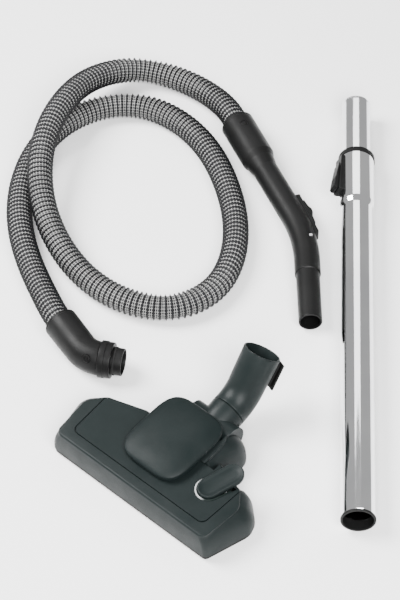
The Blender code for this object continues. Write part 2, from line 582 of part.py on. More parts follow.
def make_grip():
    frame = make_empty("grip_frame", GRIP_PLACE, (0, GRIP_DROP, GRIP_YAW), KIT)
    bend = (GRIP_STRAIGHT, GRIP_BEND_RADIUS, GRIP_BEND)
    guide = make_guide("grip_guide", bend, GRIP_LENGTH, frame)
    outer = [(GRIP_LENGTH, 14.9), (GRIP_LENGTH - 1.5, 15.6), (340, 15.8), (GRIP_CONE_START + 1.5, 16.1),
             (GRIP_CONE_START, 17.3), *stations(285, 110, 13, GRIP_RADIUS), (94, 17.8), (86, 18.8), (80, 20.6),
             (75, 22.6), (69, 23.4), (30, 23.6), (1.5, 23.8), (0, 23.2)]
    inner = [(0, SOCKET_BORE), (SOCKET_DEPTH, SOCKET_BORE), (SOCKET_DEPTH + 2, 15.0), (100, 14.6),
             *stations(170, 290, 9, 14.2), (GRIP_LENGTH, 13.6)]
    grip = turned("handle_grip", inner + outer, frame, GRIP_BLACK, guide)
    window = rod("cut_lug_window", (22, 0, 16), (22, 0, 30), 4.8, frame, sides=16)
    cut(grip, window)
    make_cuff("handle_cuff", frame, TRIM_BLACK, rod("cut_lug_hole", (22, 0, 12), (22, 0, 30), 4.8, frame, sides=16))
    soften(rod("handle_lug", (22, 0, 20.0), (22, 0, 23.4), 4.4, frame, GRIP_BLACK, sides=16), 0.5, 1)

    place, _ = bend_point(*bend, RAIL_S)
    side = make_empty("valve_side", (place.x, place.y, 0), (0, 0, RAIL_HEADING), frame)
    rail = slab("air_valve_rail", arc_corners([(-36, 12, 1), (38, 12, 1), (38, 20.2, 2), (-36, 20.2, 2)], 2),
                -8.5, 8.5, side, GRIP_BLACK)
    rail_seat = turned("cut_rail_seat", [(100, 0), (100, 17.9), *stations(120, 285, 12, 17.9), (300, 17.9),
                                         (300, 0)][::-1], frame, guide=guide, closed=False)
    air_hole = block("cut_air_hole", (-21, 8, -2.6), (-8, 24, 2.6), side)
    cut(rail, rail_seat, air_hole)
    cut(grip, air_hole)
    slide = slab("air_valve_slide",
                 [(-24, 20.5), (20, 20.5), (20, 22.0), (7, 22.8), (0, 25.8), (-6, 26.2), (-12, 23.6), (-24, 22.2)],
                 -7.5, 7.5, side, TRIM_BLACK)
    soften(slide, 0.8, 2)

    place, heading = bend_point(*bend, 243.0)
    spot = make_empty("screw_spot", (place.x, place.y, 0), (0, 0, heading), frame)
    cut(grip, rod("cut_screw_seat", (0, 8, 15.0), (0, 8, 22), 2.6, spot, sides=12))
    rod("grip_screw", (0, 8, 15.3), (0, 8, 15.9), 2.3, spot, PIN_STEEL, sides=12)


# ---------------------------------------------------------------- machine-end elbow
def make_elbow():
    frame = make_empty("elbow_frame", ELBOW_PLACE, (0, 0, ELBOW_YAW), KIT)
    bend = (ELBOW_STRAIGHT, ELBOW_BEND_RADIUS, ELBOW_BEND)
    guide = make_guide("elbow_guide", bend, ELBOW_LENGTH, frame)
    bend_end = ELBOW_STRAIGHT + ELBOW_BEND_RADIUS * math.radians(ELBOW_BEND)
    inner = [(0, SOCKET_BORE), (SOCKET_DEPTH, SOCKET_BORE), (SOCKET_DEPTH + 1.5, 16.6),
             *stations(57, 77, 5, 16.4), (SPIGOT_START - GAP, 16.4), (SPIGOT_START - GAP, 18.3),
             (ELBOW_BODY_END, 18.3)]
    outer = [(ELBOW_BODY_END, 22.0), *stations(bend_end - 1, ELBOW_STRAIGHT, 6, 22.2), (25, 22.6), (1.5, 22.8),
             (0, 22.2)]
    body = turned("elbow_body", inner + outer, frame, GRIP_BLACK, guide)
    make_cuff("elbow_cuff", frame, TRIM_BLACK)
    turned("spigot", [(SPIGOT_START, 15.8), (82, 15.8), (ELBOW_LENGTH, 15.8), (ELBOW_LENGTH, 17.4),
                      (ELBOW_LENGTH - 1, SPIGOT_RADIUS), (82, SPIGOT_RADIUS), (SPIGOT_START, SPIGOT_RADIUS)],
           frame, GRIP_BLACK, guide, sides=28)
    turned("locking_collar",
           [(ELBOW_BODY_END + GAP, 18.3), (101, 18.3), (101, 23.0), (100.2, 23.7), (92.6, 23.7), (92.4, 24.5),
            (85.2, 24.5), (ELBOW_BODY_END + GAP, 23.6)], frame, GRIP_BLACK, guide, sides=28)
    turned("spigot_seal", [(103.4, 18.3), (105.6, 18.3), (105.6, 18.8), (104.5, 19.1), (103.4, 18.8)], frame,
           SOFT_RUBBER, guide)
    place, heading = bend_point(*bend, 74.0)
    spot = make_empty("button_spot", (place.x, place.y, 0), (0, 0, heading), frame)
    facing = make_empty("button_facing", (0, 0, 0), (50, 0, 0), spot)
    cut(body, rod("cut_button_hole", (0, 0, 10), (0, 0, 30), 5.3, facing, sides=20))
    button = rod("elbow_button", (0, 0, 18.9), (0, 0, 23.2), 4.9, facing, GRIP_BLACK, sides=20)
    for name, x in (("cut_button_slot_a", -2.6), ("cut_button_slot_b", 1.2)):
        cut(button, block(name, (x, -2.4, 22.2), (x + 1.4, 2.4, 25), facing))


# ---------------------------------------------------------------- hose
def make_hose():
    curve = bpy.data.curves.new("hose", "CURVE")
    curve.dimensions = "3D"
    curve.bevel_depth = HOSE_DIAMETER / 2 * MM
    curve.bevel_resolution = 3
    curve.use_fill_caps = True
    points = smooth_route(HOSE_ROUTE, HOSE_POINT_SPACING)
    spline = curve.splines.new("POLY")
    spline.points.add(len(points) - 1)
    for point, place in zip(spline.points, points):
        point.co = (*(Vector(place) * MM), 1.0)
    add_object("hose", curve, KIT, HOSE_WEAVE)


KIT = make_empty("kit", (*KIT_SHIFT, 0))
make_floor_head()
make_wand()
make_grip()
make_elbow()
make_hose()
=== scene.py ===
"""The look of the vacuum accessory set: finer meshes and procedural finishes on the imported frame."""
import json
import math

import bmesh
import bpy
import numpy as np
from mathutils import Matrix, Vector


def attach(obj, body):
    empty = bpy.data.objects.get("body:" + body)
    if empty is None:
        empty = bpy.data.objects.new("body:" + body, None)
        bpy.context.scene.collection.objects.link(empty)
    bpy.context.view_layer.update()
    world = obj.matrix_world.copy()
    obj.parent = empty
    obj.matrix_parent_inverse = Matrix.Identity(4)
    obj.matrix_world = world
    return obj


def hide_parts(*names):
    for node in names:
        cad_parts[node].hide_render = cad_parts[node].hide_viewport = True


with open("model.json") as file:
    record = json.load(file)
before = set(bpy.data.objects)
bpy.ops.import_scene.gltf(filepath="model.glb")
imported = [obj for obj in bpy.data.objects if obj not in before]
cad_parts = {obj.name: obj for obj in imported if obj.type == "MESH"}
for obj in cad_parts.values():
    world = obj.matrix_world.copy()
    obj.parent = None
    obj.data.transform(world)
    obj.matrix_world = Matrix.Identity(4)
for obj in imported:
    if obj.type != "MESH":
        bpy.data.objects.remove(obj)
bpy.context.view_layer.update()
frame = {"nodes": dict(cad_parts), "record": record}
MM = 0.001

# Places of the assemblies, as in the part's own source, in millimetres and degrees
KIT_SHIFT = Vector((-21.53, 38.26, 0.0))
HEAD_PLACE, HEAD_YAW = (-89.0, -341.5, 0.0), -41.8
WAND_PLACE, WAND_YAW, WAND_RISE = (192.0, -378.0, 22.9), 87.56, 0.25
GRIP_PLACE, GRIP_YAW, GRIP_DROP = (53.0, 312.0, 25.5), -67.1, 1.44
ELBOW_PLACE, ELBOW_YAW = (-182.0, -62.0, 24.8), -57.8
HOSE_ROUTE = [
    (70.0, 272.0, 24.4), (61.0, 293.2, 25.0), (53.0, 312.0, 25.5), (43.2, 335.2, 25.6), (24, 366, 23.0),
    (-28, 411, 20.2), (-89, 427, 24.5), (-146, 398, 39.0), (-187, 337, 55.0), (-212, 268, 58.0),
    (-220, 202, 51.5), (-213, 139, 39.5), (-190, 77, 28.5), (-151, 21, 21.5), (-96, -19, 18.8),
    (-36, -29, 18.2), (16, 1, 18.2), (43, 59, 18.2), (48, 130, 18.2), (36, 201, 18.2), (12, 267, 18.2),
    (-27, 322, 18.2), (-79, 355, 18.2), (-139, 354, 18.2), (-192, 322, 18.2), (-229, 265, 18.2),
    (-246, 198, 18.2), (-246, 128, 18.2), (-230, 56, 18.4), (-205, -12, 21.5), (-182.0, -62.0, 24.8),
    (-171.4, -78.9, 24.8), (-160.2, -96.7, 24.8),
]

# Sizes of the floor head, in its own frame
SHELL_UNDER = 9.0
ROOF_FRONT, ROOF_SLOPE = 43.0, 0.06
SHELL_FOOT = [(-128, 0, 8), (128, 0, 8), (147, 72, 24), (121, 95, 18), (62, 107, 10),
              (-62, 107, 10), (-121, 95, 18), (-147, 72, 24)]
SHELL_BROW = [(-124, 3, 8), (124, 3, 8), (129, 61, 16), (112, 82, 12), (60, 98, 8),
              (-60, 98, 8), (-112, 82, 12), (-129, 61, 16)]
PANEL_OUTLINE = [(-108, 17, 9), (108, 17, 9), (113, 112, 2), (-113, 112, 2)]
SHELL_WALL, ROOF_THICKNESS, PANEL_THICKNESS = 2.6, 5.0, 2.0
GROOVE_WIDTH, PANEL_INSET = 1.3, 0.4
COVER_CENTRE_Y, COVER_HALF_WIDTH, COVER_HALF_DEPTH, COVER_SQUARENESS = 84.0, 47.0, 55.0, 4
COVER_UNDER, COVER_SLOPE, COVER_EDGE, COVER_DOME, COVER_FALL = 48.6, 0.08, 4.0, 10.5, 0.3
PIVOT_X = 12.0                   # the pivot sits to the right of the head's middle
HOUSING_FOOT = [(-52, 84.6, 1), (52, 84.6, 1), (60, 158, 24), (-60, 158, 24)]
HOUSING_BROW = [(-44, 84.6, 1), (44, 84.6, 1), (41, 134, 16), (-41, 134, 16)]
TILT_Y, TILT_Z, NECK_RISE = 142.0, 30.0, 12.0
BARREL_RADIUS, BARREL_HALF = 21.5, 34.0
STUB_END, STUB_RADIUS = 31.0, 24.0
NECK_STRAIGHT, NECK_BEND_RADIUS, NECK_BEND, NECK_LENGTH = 36.0, 52.0, 40.0, 121.0
NECK_BORE, NECK_SOCKET_DEPTH = 22.3, 46.0
HOOK_LEAN = -35.0                # degrees that the parking hook is turned round the neck
PEDAL_X, PEDAL_Y, PEDAL_HALF_WIDTH, PEDAL_HALF_LENGTH, PEDAL_TURN = 86.0, 75.0, 14.5, 31.0, -19.7
PEDAL_PIN_Z = 43.0
WHEEL_Y, WHEEL_RADIUS, WHEEL_X = 134.0, 12.0, 47.0
TUFTS = 46

# Sizes of the wand, along X from its lower end
TUBE_RADIUS, TUBE_WALL = 21.8, 0.8
INNER_RADIUS, INNER_START, WAND_LENGTH = 20.1, 220.0, 728.0
COLLAR_START, COLLAR_END, COLLAR_RADIUS = 518.0, 612.0, 24.6
LATCH_LEAN, LATCH_FOOT = 25.0, 543.0

# Sizes of the grip and the elbow, along X from their socket mouths
SOCKET_BORE, SOCKET_DEPTH = 20.8, 50.0
GRIP_STRAIGHT, GRIP_BEND_RADIUS, GRIP_BEND, GRIP_LENGTH = 189.0, 220.0, -22.3, 383.0
GRIP_RADIUS, GRIP_CONE_START = 17.6, 300.0
RAIL_S, RAIL_HEADING = 198.0, -3.5
ELBOW_STRAIGHT, ELBOW_BEND_RADIUS, ELBOW_BEND, ELBOW_LENGTH = 52.0, 40.0, 45.3, 115.0
ELBOW_BODY_END, SPIGOT_START, SPIGOT_RADIUS = 84.0, 80.0, 18.0

# Camera and hose ribs
VIEW_ELEVATION, VIEW_DISTANCE, VIEW_LENS = 48.0, 3.0, 135.0
WORLD_STRENGTH = 0.5
PLASTIC_SHEEN = 0.12             # specular level of the moulded plastics
RIB_PITCH = 7.2
RIB_PROFILE = [(0.0, 17.9), (0.12, 15.8), (0.26, 15.0), (0.42, 14.8), (0.58, 14.8), (0.74, 15.0),
               (0.88, 15.8)]
THREADS, HOSE_SIDES = 22, 44


def place_matrix(place, yaw, pitch=0.0):
    turn = Matrix.Rotation(math.radians(yaw), 4, "Z") @ Matrix.Rotation(math.radians(pitch), 4, "Y")
    return Matrix.Translation((KIT_SHIFT + Vector(place)) * MM) @ turn


HEAD = place_matrix(HEAD_PLACE, HEAD_YAW)
WAND = place_matrix(WAND_PLACE, WAND_YAW, -WAND_RISE)
GRIP = place_matrix(GRIP_PLACE, GRIP_YAW, GRIP_DROP)
ELBOW = place_matrix(ELBOW_PLACE, ELBOW_YAW)
PIVOT = HEAD @ Matrix.Translation(Vector((PIVOT_X, 0, 0)) * MM)
TILT = PIVOT @ Matrix.Translation(Vector((0, TILT_Y, TILT_Z)) * MM) @ Matrix.Rotation(math.radians(90), 4, "Z") \
    @ Matrix.Rotation(math.radians(-NECK_RISE), 4, "Y")
NECK_ARC = (NECK_STRAIGHT, NECK_BEND_RADIUS, NECK_BEND)
GRIP_ARC = (GRIP_STRAIGHT, GRIP_BEND_RADIUS, GRIP_BEND)
ELBOW_ARC = (ELBOW_STRAIGHT, ELBOW_BEND_RADIUS, ELBOW_BEND)


# ---------------------------------------------------------------- camera, floor and light
def set_camera():
    lens = bpy.data.cameras.new("studio_camera")
    lens.lens = VIEW_LENS
    lens.sensor_fit = "VERTICAL"
    lens.sensor_height = 36.0
    camera = bpy.data.objects.new("studio_camera", lens)
    rise = math.radians(VIEW_ELEVATION)
    offset = Vector((0.0, -math.cos(rise), math.sin(rise))) * VIEW_DISTANCE
    camera.location = KIT_SHIFT * MM + offset
    camera.rotation_euler = (math.radians(90 - VIEW_ELEVATION), 0.0, 0.0)
    bpy.context.scene.collection.objects.link(camera)
    bpy.context.scene.camera = camera


def add_area(name, place, aim, size, power):
    light = bpy.data.lights.new(name, "AREA")
    light.shape = "RECTANGLE"
    light.size, light.size_y = size
    light.energy = power
    holder = bpy.data.objects.new(name, light)
    holder.location = place
    holder.rotation_euler = (Vector(aim) - Vector(place)).to_track_quat("-Z", "Y").to_euler()
    bpy.context.scene.collection.objects.link(holder)


# ---------------------------------------------------------------- procedural finishes
class Wire:
    """A socket in a material's graph; arithmetic on it adds Math nodes."""

    def __init__(self, finish, socket):
        self.finish, self.socket = finish, socket

    def math(self, operation, *others, clamp=False):
        return self.finish.node("ShaderNodeMath", [self, *others], operation=operation, use_clamp=clamp)

    def __add__(self, other):
        return self.math("ADD", other)

    def __sub__(self, other):
        return self.math("SUBTRACT", other)

    def __mul__(self, other):
        return self.math("MULTIPLY", other)

    def __rsub__(self, other):
        return self.math("MULTIPLY", -1.0).math("ADD", other)

    def fraction(self):
        return self.math("FRACT")

    def near(self, centre, reach):
        """1 at the centre and 0 further away than reach, with a soft edge."""
        away = (self - centre).math("ABSOLUTE")
        return self.finish.node("ShaderNodeMapRange", [away, reach * 0.55, reach * 1.25, 1.0, 0.0],
                                interpolation_type="SMOOTHSTEP")

    def ramp(self, low, high, out_low=0.0, out_high=1.0):
        return self.finish.node("ShaderNodeMapRange", [self, low, high, out_low, out_high],
                                interpolation_type="SMOOTHSTEP")


class Finish:
    """A Principled material and the nodes that drive it."""

    def __init__(self, name, colour, roughness, metallic=0.0, **constants):
        self.material = bpy.data.materials.new(name)
        self.material.use_nodes = True
        self.tree = self.material.node_tree
        self.shader = self.tree.nodes["Principled BSDF"]
        self.shader.inputs["Base Color"].default_value = (*colour, 1.0)
        self.shader.inputs["Roughness"].default_value = roughness
        self.shader.inputs["Metallic"].default_value = metallic
        for key, value in constants.items():
            self.shader.inputs[key.replace("_", " ")].default_value = value

    def node(self, kind, inputs, output=0, **settings):
        made = self.tree.nodes.new(kind)
        for key, value in settings.items():
            setattr(made, key, value)
        for slot, value in zip(made.inputs, inputs):
            if isinstance(value, Wire):
                self.tree.links.new(value.socket, slot)
            elif value is not None:
                slot.default_value = value
        return Wire(self, made.outputs[output])

    def place(self):
        return self.node("ShaderNodeTexCoord", [], output=3)

    def noise(self, scale, detail=3.0, vector=None):
        return self.node("ShaderNodeTexNoise", [vector or self.place(), None, scale, detail, 0.55])

    def mix(self, factor, first, second):
        made = self.tree.nodes.new("ShaderNodeMix")
        made.data_type = "RGBA"
        self.tree.links.new(factor.socket, made.inputs["Factor"])
        for label, value in (("A", first), ("B", second)):
            slot = next(s for s in made.inputs if s.name == label and s.type == "RGBA")
            if isinstance(value, Wire):
                self.tree.links.new(value.socket, slot)
            else:
                slot.default_value = (*value, 1.0)
        return Wire(self, next(s for s in made.outputs if s.type == "RGBA"))

    def drive(self, socket, wire):
        self.tree.links.new(wire.socket, self.shader.inputs[socket])

    def bump(self, height, strength, distance):
        made = self.tree.nodes.new("ShaderNodeBump")
        made.inputs["Strength"].default_value = strength
        made.inputs["Distance"].default_value = distance
        self.tree.links.new(height.socket, made.inputs["Height"])
        self.tree.links.new(made.outputs["Normal"], self.shader.inputs["Normal"])


def moulded(name, dark, light, roughness, grain=0.25):
    """Moulded plastic: a fine spark-eroded grain, faint mottling and a little wear in the gloss."""
    finish = Finish(name, dark, roughness, Specular_IOR_Level=PLASTIC_SHEEN)
    cloud = finish.noise(18.0, 4.0)
    finish.drive("Base Color", finish.mix(cloud.ramp(0.3, 0.7), dark, light))
    finish.drive("Roughness", finish.noise(45.0, 5.0).ramp(0.25, 0.75, roughness - 0.06, roughness + 0.07))
    finish.bump(finish.noise(2600.0, 2.0), grain, 0.0002)
    return finish.material


def polished_tube():
    finish = Finish("wand_chrome", (0.86, 0.87, 0.88), 0.07, 1.0)
    streak = finish.node("ShaderNodeMapping", [finish.place(), None, (0.0, 0.0, 0.0), (1.0, 0.03, 1.0)])
    fine = finish.noise(900.0, 3.0, streak)
    finish.drive("Roughness", fine.ramp(0.3, 0.8, 0.05, 0.12))
    finish.drive("Base Color", finish.mix(finish.noise(9.0, 3.0).ramp(0.3, 0.75), (0.88, 0.885, 0.89),
                                          (0.78, 0.785, 0.80)))
    finish.bump(fine, 0.03, 0.0001)
    return finish.material


def woven_hose():
    """Black braid with pale threads: U counts ribs along the hose and V goes once round it."""
    finish = Finish("hose_braid", (0.006, 0.006, 0.007), 0.62, Specular_IOR_Level=0.2)
    parts = finish.node("ShaderNodeUVMap", [], uv_map="braid")
    split = finish.tree.nodes.new("ShaderNodeSeparateXYZ")
    finish.tree.links.new(parts.socket, split.inputs[0])
    along, around = Wire(finish, split.outputs[0]), Wire(finish, split.outputs[1])
    rib = along.fraction()
    lengthways = (around * float(THREADS)).fraction().near(0.5, 0.085)
    hoops = rib.near(0.32, 0.035).math("MAXIMUM", rib.near(0.66, 0.035))
    twist = finish.noise(1500.0, 2.0).ramp(0.3, 0.7, 0.55, 1.0)
    crest = (rib - 0.5).math("ABSOLUTE").ramp(0.32, 0.38)
    pale = lengthways.math("MAXIMUM", hoops) * twist * (1 - crest)
    wear = finish.noise(14.0, 2.0).ramp(0.3, 0.7, 0.75, 1.0)
    finish.drive("Base Color", finish.mix(pale * wear, (0.004, 0.004, 0.005), (0.55, 0.55, 0.54)))
    finish.drive("Roughness", pale.ramp(0.0, 1.0, 0.55, 0.8))
    finish.bump(lengthways.math("MAXIMUM", hoops), 0.6, 0.0006)
    return finish.material


def fibres(name, dark, light, scale, stretch):
    finish = Finish(name, dark, 0.85)
    vector = finish.node("ShaderNodeMapping", [finish.place(), None, (0.0, 0.0, 0.0), stretch])
    strands = finish.noise(scale, 2.0, vector)
    finish.drive("Base Color", finish.mix(strands.ramp(0.35, 0.65), dark, light))
    finish.bump(strands, 0.8, 0.0006)
    return finish.material


def turned_steel():
    finish = Finish("pin_metal", (0.5, 0.5, 0.51), 0.3, 1.0)
    finish.drive("Roughness", finish.noise(700.0, 3.0).ramp(0.3, 0.7, 0.22, 0.42))
    return finish.material


def bezel_painted_highlight():
    """A painted highlight: pale round the front left end of the pedal and dark round the rest of its cup."""
    finish = Finish("bezel_plastic_painted_highlight", (0.25, 0.26, 0.26), 0.4, Specular_IOR_Level=0.2)
    turn = math.radians(PEDAL_TURN)
    middle = HEAD @ (Vector((PEDAL_X, PEDAL_Y, 0.0)) * MM)
    ahead = Vector((math.sin(turn), -math.cos(turn), 0.0))
    left = Vector((-math.cos(turn), -math.sin(turn), 0.0))
    facing = (HEAD.to_3x3() @ (ahead + left * 0.5)).normalized()
    along = finish.node("ShaderNodeVectorMath", [finish.place(), tuple(facing)], output=1,
                        operation="DOT_PRODUCT")
    # painted highlight: the cup is made pale past a line across its front left end
    pale = (along - middle.dot(facing)).ramp(0.020, 0.028)
    finish.drive("Base Color", finish.mix(pale, (0.006, 0.010, 0.009), (0.30, 0.31, 0.31)))
    finish.drive("Roughness", finish.noise(45.0, 5.0).ramp(0.25, 0.75, 0.34, 0.46))
    return finish.material


def studio_floor():
    finish = Finish("floor_white", (0.93, 0.93, 0.93), 0.8)
    finish.drive("Roughness", finish.noise(3.0, 2.0).ramp(0.3, 0.7, 0.75, 0.85))
    return finish.material


SHELL = moulded("shell_plastic", (0.005, 0.008, 0.008), (0.008, 0.011, 0.011), 0.42)
PANEL = moulded("panel_plastic", (0.004, 0.007, 0.007), (0.006, 0.009, 0.009), 0.50, grain=0.4)
BLACK = moulded("grip_plastic", (0.004, 0.004, 0.004), (0.006, 0.006, 0.006), 0.44, grain=0.3)
TRIM = moulded("trim_plastic", (0.004, 0.004, 0.004), (0.006, 0.006, 0.006), 0.50)
# the pedal cup's material, with a painted highlight on its front left end
BEZEL_PAINTED_HIGHLIGHT = bezel_painted_highlight()
RUBBER = moulded("seal_rubber", (0.010, 0.010, 0.010), (0.016, 0.016, 0.016), 0.72, grain=0.6)
CHROME = polished_tube()
STEEL = turned_steel()
BRAID = woven_hose()
BRISTLE = fibres("bristle_fibre", (0.010, 0.010, 0.011), (0.05, 0.05, 0.05), 900.0, (1.0, 1.0, 0.05))
LINT = fibres("lint_pile", (0.20, 0.012, 0.014), (0.45, 0.05, 0.05), 700.0, (1.0, 1.0, 1.0))
FINISHES = {"shell_grey": SHELL, "panel_grey": PANEL, "grip_black": BLACK, "trim_black": TRIM,
            "bezel_grey": BEZEL_PAINTED_HIGHLIGHT, "tube_chrome": CHROME, "pin_steel": STEEL, "soft_rubber": RUBBER,
            "bristle_fibre": BRISTLE, "lint_fabric": LINT, "hose_weave": BRAID}
BODY_OF = {node: body for body, nodes in frame["record"]["behaviour"]["bodies"].items() for node in nodes}
SLOT_OF = {part["node"]: part["material_slot"] for part in frame["record"]["subparts"]}
SCRAP = []                       # tools and blanks that are cleared away once the pieces are cut


# ---------------------------------------------------------------- shape helpers (sizes in millimetres)
def blank(name, shape):
    """A loose object in its assembly's own frame, used as a blank or as a cutting tool."""
    bmesh.ops.recalc_face_normals(shape, faces=shape.faces)
    mesh = bpy.data.meshes.new(name)
    shape.to_mesh(mesh)
    shape.free()
    piece = bpy.data.objects.new(name, mesh)
    bpy.context.scene.collection.objects.link(piece)
    SCRAP.append(piece)
    return piece


def block(name, low, high):
    shape = bmesh.new()
    bmesh.ops.create_cube(shape, size=1.0)
    low, high = Vector(low) * MM, Vector(high) * MM
    bmesh.ops.scale(shape, vec=high - low, verts=shape.verts)
    bmesh.ops.translate(shape, vec=(high + low) / 2, verts=shape.verts)
    return blank(name, shape)


def rod(name, start, end, radius, sides=48, end_radius=None):
    shape = bmesh.new()
    start, end = Vector(start) * MM, Vector(end) * MM
    turn = Vector((0, 0, 1)).rotation_difference(end - start).to_matrix().to_4x4()
    far = radius if end_radius is None else end_radius
    bmesh.ops.create_cone(shape, cap_ends=True, segments=sides, radius1=radius * MM, radius2=far * MM,
                          depth=(end - start).length, matrix=Matrix.Translation((start + end) / 2) @ turn)
    return blank(name, shape)


def arc_corners(corners, steps=8):
    """A closed outline through corners (x, y, radius), each rounded by an arc."""
    outline = []
    count = len(corners)
    for i, (x, y, radius) in enumerate(corners):
        corner = Vector((x, y))
        if radius == 0:
            outline.append((x, y))
            continue
        back = (Vector(corners[i - 1][:2]) - corner).normalized()
        ahead = (Vector(corners[(i + 1) % count][:2]) - corner).normalized()
        half = back.angle(ahead) / 2
        reach = radius / math.tan(half)
        centre = corner + (back + ahead).normalized() * radius / math.sin(half)
        first, last = corner + back * reach - centre, corner + ahead * reach - centre
        sweep = first.angle_signed(last)
        for k in range(steps + 1):
            cos, sin = math.cos(sweep * k / steps), math.sin(-sweep * k / steps)
            outline.append((centre.x + first.x * cos - first.y * sin, centre.y + first.x * sin + first.y * cos))
    return outline


def bend_point(straight, radius, degrees, s):
    """Place and heading at distance s along an axis that runs straight, bends, and runs straight again."""
    sign = math.copysign(1.0, degrees)
    arc = radius * math.radians(abs(degrees))
    if s <= straight:
        return Vector((s, 0.0)), 0.0
    angle = min(s - straight, arc) / radius
    beyond = max(s - straight - arc, 0.0)
    x = straight + radius * math.sin(angle) + beyond * math.cos(angle)
    y = radius * (1 - math.cos(angle)) + beyond * math.sin(angle)
    return Vector((x, sign * y)), sign * angle


def bend_frame(bend, s, upward=False):
    """The matrix that stands at distance s on a bent axis, with X along it."""
    place, heading = bend_point(*bend, s)
    if upward:
        return Matrix.Translation(Vector((place.x, 0, place.y)) * MM) @ Matrix.Rotation(-heading, 4, "Y")
    return Matrix.Translation(Vector((place.x, place.y, 0)) * MM) @ Matrix.Rotation(heading, 4, "Z")


def turned(name, profile, bend=None, upward=False, sides=80, step=4.0):
    """A closed profile of (x, radius) pairs turned about X, then bent along its axis."""
    points = []
    for (x0, r0), (x1, r1) in zip(profile, profile[1:] + profile[:1]):
        cuts = max(round(abs(x1 - x0) / step), 1) if bend else 1
        points += [(x0 + (x1 - x0) * k / cuts, r0 + (r1 - r0) * k / cuts) for k in range(cuts)]
    shape = bmesh.new()
    verts = [shape.verts.new((x * MM, 0.0, radius * MM)) for x, radius in points]
    edges = [shape.edges.new(pair) for pair in zip(verts, verts[1:] + verts[:1])]
    bmesh.ops.spin(shape, geom=verts + edges, cent=(0, 0, 0), axis=(1, 0, 0), angle=2 * math.pi, steps=sides,
                   use_merge=True)
    if bend:
        for vert in shape.verts:
            stand = bend_frame(bend, vert.co.x / MM, upward)
            vert.co = stand @ Vector((0, vert.co.y, vert.co.z))
    return blank(name, shape)


def loft(name, rings):
    """A closed solid through rings of equally many points (x, y, z)."""
    rows, columns = len(rings), len(rings[0])
    shape = bmesh.new()
    bmesh.ops.create_grid(shape, x_segments=rows - 1, y_segments=columns, size=1.0)
    for vert in shape.verts:
        row, column = round((vert.co.x + 1) / 2 * (rows - 1)), round((vert.co.y + 1) / 2 * columns)
        vert.co = Vector(rings[row][column % columns]) * MM
    bmesh.ops.remove_doubles(shape, verts=shape.verts, dist=0.000001)
    bmesh.ops.holes_fill(shape, edges=shape.edges, sides=0)
    return blank(name, shape)


def level(value):
    return value if callable(value) else (lambda y: value)


def slab(name, outline, under, over):
    """An outline between two heights, each a number or a function of y."""
    return loft(name, [[(x, y, level(height)(y)) for x, y in outline] for height in (under, over)])


def boolean(piece, operation, *others):
    for other in others:
        step = piece.modifiers.new(other.name, "BOOLEAN")
        step.operation = operation
        step.solver = "EXACT"
        step.object = other
    return piece


def cut(piece, *tools):
    return boolean(piece, "DIFFERENCE", *tools)


def fuse(piece, *others):
    return boolean(piece, "UNION", *others)


def soften(piece, width, segments=3):
    bevel = piece.modifiers.new("Soften", "BEVEL")
    bevel.width = width * MM
    bevel.segments = segments
    bevel.limit_method = "ANGLE"
    bevel.angle_limit = math.radians(35)
    return piece


def place(piece, node, matrix, sharp=32.0):
    """The finished piece: modifiers applied, set in its place, and shown in the node's stead."""
    graph = bpy.context.evaluated_depsgraph_get()
    mesh = bpy.data.meshes.new_from_object(piece.evaluated_get(graph))
    mesh.name = node + "_form"
    mesh.transform(matrix)
    mesh.shade_smooth()
    mesh.set_sharp_from_angle(angle=math.radians(sharp))
    mesh.materials.clear()
    mesh.materials.append(FINISHES[SLOT_OF[node]])
    made = bpy.data.objects.new(node + "_form", mesh)
    bpy.context.scene.collection.objects.link(made)
    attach(made, BODY_OF[node])
    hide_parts(node)
    return made


# ---------------------------------------------------------------- floor head
def roof(y):
    return ROOF_FRONT + ROOF_SLOPE * y


def cover_under(y):
    return COVER_UNDER + COVER_SLOPE * (y - (COVER_CENTRE_Y - COVER_HALF_DEPTH))


def shrunk(corners, amount):
    """The same outline drawn in by an amount on every side."""
    return [(x - math.copysign(amount, x), y + (amount if y < 50 else -amount), max(radius - amount, 1))
            for x, y, radius in corners]


def between(first, second, share):
    return [(x0 + (x1 - x0) * share, y0 + (y1 - y0) * share) for (x0, y0), (x1, y1) in zip(first, second)]


def hood_rings(foot, brow, under, top, fillet=3.0, rows=12):
    """Rings up a bulging side, from a foot outline to a brow outline, with a rounded brow."""
    shoulder = arc_corners(shrunk(brow, -0.55 * fillet))
    crest = arc_corners(shrunk(brow, 0.45 * fillet))
    foot = arc_corners(foot)
    rings = []
    for row in range(rows):
        lift = row / rows
        outline = between(foot, shoulder, lift ** 2.6)
        rings.append([(x, y, under + (top(y) - fillet - under) * lift) for x, y in outline])
    for row in range(7):
        turn = math.radians(15 * row)
        outline = between(shoulder, crest, 1 - math.cos(turn))
        rings.append([(x, y, top(y) - fillet * (1 - math.sin(turn))) for x, y in outline])
    return rings


def pedal_spot(x, y):
    """A point given from the pedal's middle, along and across its own length."""
    turn = math.radians(PEDAL_TURN)
    return (PEDAL_X + x * math.cos(turn) - y * math.sin(turn), PEDAL_Y + x * math.sin(turn) + y * math.cos(turn))


def pedal_outline(half_width, half_length):
    r = half_width - 0.01
    corners = [(-half_width, -half_length, r), (half_width, -half_length, r), (half_width, half_length, r),
               (-half_width, half_length, r)]
    return [pedal_spot(x, y) for x, y in arc_corners(corners, steps=14)]


